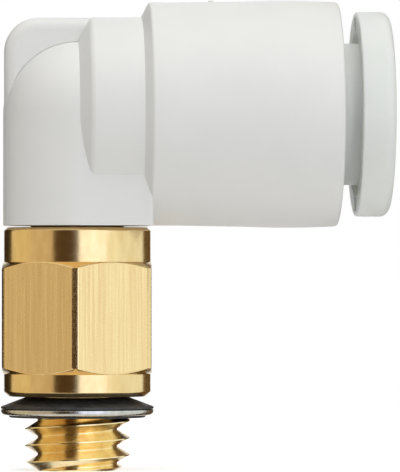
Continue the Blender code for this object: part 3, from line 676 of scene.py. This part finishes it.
# Guide sleeve. Thin stainless, deep drawn: a flange behind the seal, a plain bore for the chuck
# and a mouth that wedges the collet. It is pressed into the barrel and held by its barb.
DRAWN_STEEL = (0.62, 0.60, 0.56)
guide_corners = [
    (4.27, 12.188, 0.05),
    (4.27, 11.488),
    (4.37, 11.488),
    (4.37, 11.388, 0.03),
    (4.27, 11.088, 0.05),
    (4.27, 7.13, 0.12),
    (3.20, 7.13, 0.03),
    (3.20, 7.33, 0.03),
    (4.02, 7.33, 0.06),
    (4.02, 10.738, 0.10),
    (3.76, 11.188, 0.10),
    (3.76, 12.188, 0.05),
]
drawn_steel, tree, shader = new_finish(
    "drawn stainless", DRAWN_STEEL, roughness=0.3, metallic=1.0
)
emboss(tree, shader, spread(tree, 0.03, stretch=(40, 1, 1), detail=3.0), 0.0015)
tint(tree, shader, spread(tree, 0.1, stretch=(20, 1, 1)), STAINLESS_DARK, DRAWN_STEEL)
polish(tree, shader, spread(tree, 0.2), smooth=0.22, rough=0.38)
guide = finished("drawn_guide_sleeve", along_tube(turned(guide_corners)), [drawn_steel])
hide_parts("guide_sleeve")
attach(guide, "elbow")


# Chuck. Stainless spring sheet, blanked and drawn: a band with eight claws that slant in and bite
# the tube. It lies loose in the guide sleeve, between its flange and the collet.
CLAW_COUNT = 8
CLAW_SLOT = 0.55
CLAW_SLOT_RADII = (2.60, 3.79)
CLAW_SLOT_SPAN = (7.55, 8.78)
chuck_corners = [
    (3.97, 9.05, 0.03),
    (3.97, 8.45, 0.10),
    (2.95, 7.65, 0.02),
    (2.95, 7.92, 0.02),
    (3.79, 8.579, 0.10),
    (3.79, 9.05, 0.03),
]


def radial_cutters(count, width, radii, span):
    """Boxes spaced round the axis from its lowest side, for slots and pockets."""
    shape = bmesh.new()
    middle = (sum(radii) / 2, 0, sum(span) / 2)
    size = (radii[1] - radii[0], width, span[1] - span[0])
    for index in range(count):
        made = bmesh.ops.create_cube(shape, size=1.0)["verts"]
        bmesh.ops.scale(shape, vec=size, verts=made)
        bmesh.ops.translate(shape, verts=made, vec=middle)
        place = Matrix.Rotation(math.tau * index / count, 3, "Z")
        bmesh.ops.rotate(shape, verts=made, matrix=place)
    return shape


spring_steel, tree, shader = new_finish(
    "spring stainless", STAINLESS, roughness=0.24, metallic=1.0
)
emboss(tree, shader, spread(tree, 0.03, detail=3.0), 0.0015)
tint(tree, shader, spread(tree, 0.2), STAINLESS_DARK, STAINLESS)
polish(tree, shader, spread(tree, 0.08), smooth=0.18, rough=0.34)
claw_slots = radial_cutters(CLAW_COUNT, CLAW_SLOT, CLAW_SLOT_RADII, CLAW_SLOT_SPAN)
chuck_shape = worked(turned(chuck_corners), "DIFFERENCE", claw_slots)
chuck = finished("claw_chuck", along_tube(chuck_shape), [spring_steel], sharp=30)
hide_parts("chuck")
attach(chuck, "grip")


# Collet. Natural resin, moulded with six slots so that its fingers spring: its cone sits in the
# guide's wedge, and its ledge holds the release collar's ridge.
COLLET_SLOTS = 6
COLLET_SLOT = 0.45
COLLET_SLOT_RADII = (3.05, 4.27)
COLLET_SLOT_SPAN = (9.00, 11.10)
NATURAL = (0.72, 0.72, 0.70)
NATURAL_WARM = (0.70, 0.69, 0.65)
collet_corners = [
    (3.71, 12.238, 0.05),
    (3.71, 11.068, 0.05),
    (3.97, 10.618, 0.05),
    (3.97, 9.10, 0.04),
    (3.63, 9.10, 0.04),
    (3.63, 10.298, 0.03),
    (3.40, 10.298, 0.03),
    (3.40, 12.238, 0.05),
]
natural_resin, tree, shader = new_finish("natural resin", NATURAL, roughness=0.45)
emboss(tree, shader, spread(tree, 0.05, detail=3.0), 0.0012)
tint(tree, shader, spread(tree, 1.0), NATURAL_WARM, NATURAL)
polish(tree, shader, spread(tree, 0.2), smooth=0.4, rough=0.52)
finger_slots = radial_cutters(COLLET_SLOTS, COLLET_SLOT, COLLET_SLOT_RADII, COLLET_SLOT_SPAN)
collet_shape = worked(turned(collet_corners), "DIFFERENCE", finger_slots)
collet = finished("slotted_collet", along_tube(collet_shape), [natural_resin], sharp=30)
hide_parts("collet")
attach(collet, "elbow")


# Release collar. Pale grey-green resin, slightly see-through: a flange that is pressed to free the
# tube, a neck, a ridge that clips behind the collet's ledge and a nose that opens the claws.
POCKET_COUNT = 2
POCKET_WIDTH = 1.00
POCKET_RADII = (3.95, 4.58)
POCKET_SPAN = (13.048, 13.498)
COLLAR = (0.76, 0.785, 0.75)
COLLAR_PALE = (0.79, 0.81, 0.78)
COLLAR_DEPTH = 0.8
collar_corners = [
    (3.50, 14.718, 0.06),
    (4.84, 14.718, 0.42),
    (4.84, 13.148, 0.10),
    (3.85, 13.148, 0.06),
    (3.75, 13.398, 0.05),
    (3.35, 13.398, 0.05),
    (3.35, 10.25),
    (3.58, 10.25, 0.03),
    (3.58, 9.65, 0.05),
    (3.35, 9.35, 0.05),
    (3.35, 9.085, 0.05),
    (3.05, 8.85, 0.04),
    (3.05, 14.268, 0.10),
]
collar_resin, tree, shader = new_finish("collar resin", COLLAR, roughness=0.4)
emboss(tree, shader, spread(tree, 0.05, detail=3.0), 0.0012)
tint(tree, shader, spread(tree, 1.5), COLLAR, COLLAR_PALE)
polish(tree, shader, spread(tree, 0.2), smooth=0.36, rough=0.46)
shader.inputs["Subsurface Weight"].default_value = 0.8
shader.inputs["Subsurface Radius"].default_value = (1.0, 1.0, 0.9)
shader.inputs["Subsurface Scale"].default_value = COLLAR_DEPTH * MM
pockets = radial_cutters(POCKET_COUNT, POCKET_WIDTH, POCKET_RADII, POCKET_SPAN)
collar_shape = worked(turned(collar_corners, fineness=6), "DIFFERENCE", pockets)
collar = finished("release_flange_collar", along_tube(collar_shape), [collar_resin], sharp=30)
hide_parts("release_collar")
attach(collar, "release")


# Studio. A white floor just under the thread and a white surround, an overhead lamp and a lamp on
# the right. Dark, grey and pale boards stand round the fitting, seen only as its gloss and bright
# metal mirror them.
FLOOR_HEIGHT = -2.502
FLOOR_REACH = 130
FLOOR_SQUARES = 8
FLOOR_GREY = 0.90
FLOOR_GLOW = 0.56
SURROUND_LIGHT = 0.37
BOARD_DISTANCE = 70
BOARD_HALF = 90
BOARD_STEPS = 24
CAMERA_SIDE = -92.2
# Each board's start and end in degrees round the thread, from the camera's side towards the
# right, and its colour.
boards = {
    "dark_board_behind_left": (-165, -124, (0.034, 0.021, 0.010)),
    "grey_board_left": (-124, -78, (0.79, 0.69, 0.46)),
    "grey_board_front_left": (-78, -37, (0.69, 0.59, 0.44)),
    "dark_board_front": (-37, 2, (0.078, 0.047, 0.022)),
    "bright_board_front_right": (2, 46, (1.40, 1.51, 1.88)),
    "light_board_right": (46, 66, (1.06, 1.13, 1.14)),
    "pale_board_right": (66, 124, (0.97, 1.04, 1.06)),
    "dark_board_behind_right": (124, 165, (0.128, 0.078, 0.030)),
}


def seen_directly(tree):
    """1 for rays that show the surround as it is: from the camera, off gloss or through glass."""
    path = tree.nodes.new("ShaderNodeLightPath")
    total = path.outputs["Is Camera Ray"]
    for name in ("Is Glossy Ray", "Is Transmission Ray"):
        either = tree.nodes.new("ShaderNodeMath")
        either.operation = "MAXIMUM"
        tree.links.new(total, either.inputs[0])
        tree.links.new(path.outputs[name], either.inputs[1])
        total = either.outputs["Value"]
    return total


world = bpy.data.worlds.new("surround")
bpy.context.scene.world = world
world.use_nodes = True
tree = world.node_tree
strength = tree.nodes.new("ShaderNodeMapRange")
strength.inputs["To Min"].default_value = SURROUND_LIGHT
tree.links.new(seen_directly(tree), strength.inputs["Value"])
tree.links.new(strength.outputs["Result"], tree.nodes["Background"].inputs["Strength"])
tree.nodes["Background"].inputs["Color"].default_value = (1, 1, 1, 1)

floor_finish = bpy.data.materials.new("floor")
floor_finish.use_nodes = True
tree = floor_finish.node_tree
tree.nodes.clear()
output = tree.nodes.new("ShaderNodeOutputMaterial")
paper = tree.nodes.new("ShaderNodeBsdfDiffuse")
paper.inputs["Color"].default_value = (FLOOR_GREY, FLOOR_GREY, FLOOR_GREY, 1)
glow = tree.nodes.new("ShaderNodeEmission")
amount = tree.nodes.new("ShaderNodeMath")
amount.operation = "MULTIPLY"
amount.inputs[1].default_value = FLOOR_GLOW
both = tree.nodes.new("ShaderNodeAddShader")
tree.links.new(seen_directly(tree), amount.inputs[0])
tree.links.new(amount.outputs["Value"], glow.inputs["Strength"])
tree.links.new(paper.outputs["BSDF"], both.inputs[0])
tree.links.new(glow.outputs["Emission"], both.inputs[1])
tree.links.new(both.outputs["Shader"], output.inputs["Surface"])
shape = bmesh.new()
bmesh.ops.create_grid(
    shape, x_segments=FLOOR_SQUARES, y_segments=FLOOR_SQUARES, size=FLOOR_REACH
)
bmesh.ops.translate(shape, verts=shape.verts, vec=(0, 0, FLOOR_HEIGHT))
floor = finished("floor", shape, [floor_finish])
floor.visible_glossy = False
floor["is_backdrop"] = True

for name, (start, end, colour) in boards.items():
    board_finish = bpy.data.materials.new(name)
    board_finish.use_nodes = True
    tree = board_finish.node_tree
    tree.nodes.clear()
    output = tree.nodes.new("ShaderNodeOutputMaterial")
    glow = tree.nodes.new("ShaderNodeEmission")
    glow.inputs["Color"].default_value = (*colour, 1)
    tree.links.new(glow.outputs["Emission"], output.inputs["Surface"])
    shape = bmesh.new()
    angle = math.radians(start + CAMERA_SIDE)
    across = Vector((math.cos(angle), math.sin(angle), 0)) * BOARD_DISTANCE
    low = shape.verts.new(across - Vector((0, 0, BOARD_HALF)))
    high = shape.verts.new(across + Vector((0, 0, BOARD_HALF)))
    shape.edges.new((low, high))
    bmesh.ops.spin(
        shape,
        geom=shape.verts[:] + shape.edges[:],
        cent=(0, 0, 0),
        axis=(0, 0, 1),
        dvec=(0, 0, 0),
        angle=math.radians(end - start),
        steps=BOARD_STEPS,
        use_merge=False,
    )
    board = finished(name, shape, [board_finish])
    board.visible_camera = False
    board.visible_diffuse = False
    board.visible_shadow = False
    board.visible_transmission = False
    board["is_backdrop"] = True


def lamp(name, place, aim, width, height, power):
    """A soft rectangular lamp that lights the object, but is neither seen nor mirrored."""
    light = bpy.data.lights.new(name, "AREA")
    light.shape = "RECTANGLE"
    light.size = width * MM
    light.size_y = height * MM
    light.energy = power
    holder = bpy.data.objects.new(name, light)
    holder.location = Vector(place) * MM
    holder.rotation_euler = (Vector(aim) - Vector(place)).to_track_quat("-Z", "Y").to_euler()
    holder.visible_camera = False
    holder.visible_glossy = False
    bpy.context.scene.collection.objects.link(holder)


lamp("overhead lamp", place=(10, -40, 190), aim=(4, 0, 8), width=160, height=160, power=0.205)
lamp("right lamp", place=(68, -222, 58), aim=(6, 0, 10), width=36, height=110, power=0.110)


# Camera. A long lens slightly to the left of the fitting and level with it, on the photograph's
# frame. The lens and the sensor are in their own millimetres, and the clip distances in metres.
CAMERA_PLACE = (-10.4, -270, 6.5)
CAMERA_AIM = (5.8, 0, 8.56)
CAMERA_LENS = 436.6
CAMERA_SENSOR = 36
CAMERA_NEAR = 0.01
CAMERA_FAR = 10
camera_data = bpy.data.cameras.new("camera")
camera_data.sensor_width = CAMERA_SENSOR
camera_data.lens = CAMERA_LENS
camera_data.clip_start = CAMERA_NEAR
camera_data.clip_end = CAMERA_FAR
camera = bpy.data.objects.new("camera", camera_data)
camera.location = Vector(CAMERA_PLACE) * MM
gaze = Vector(CAMERA_AIM) * MM - camera.location
camera.rotation_euler = gaze.to_track_quat("-Z", "Y").to_euler()
bpy.context.scene.collection.objects.link(camera)
bpy.context.scene.camera = camera
bpy.context.scene.view_settings.view_transform = "Standard"

low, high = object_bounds()
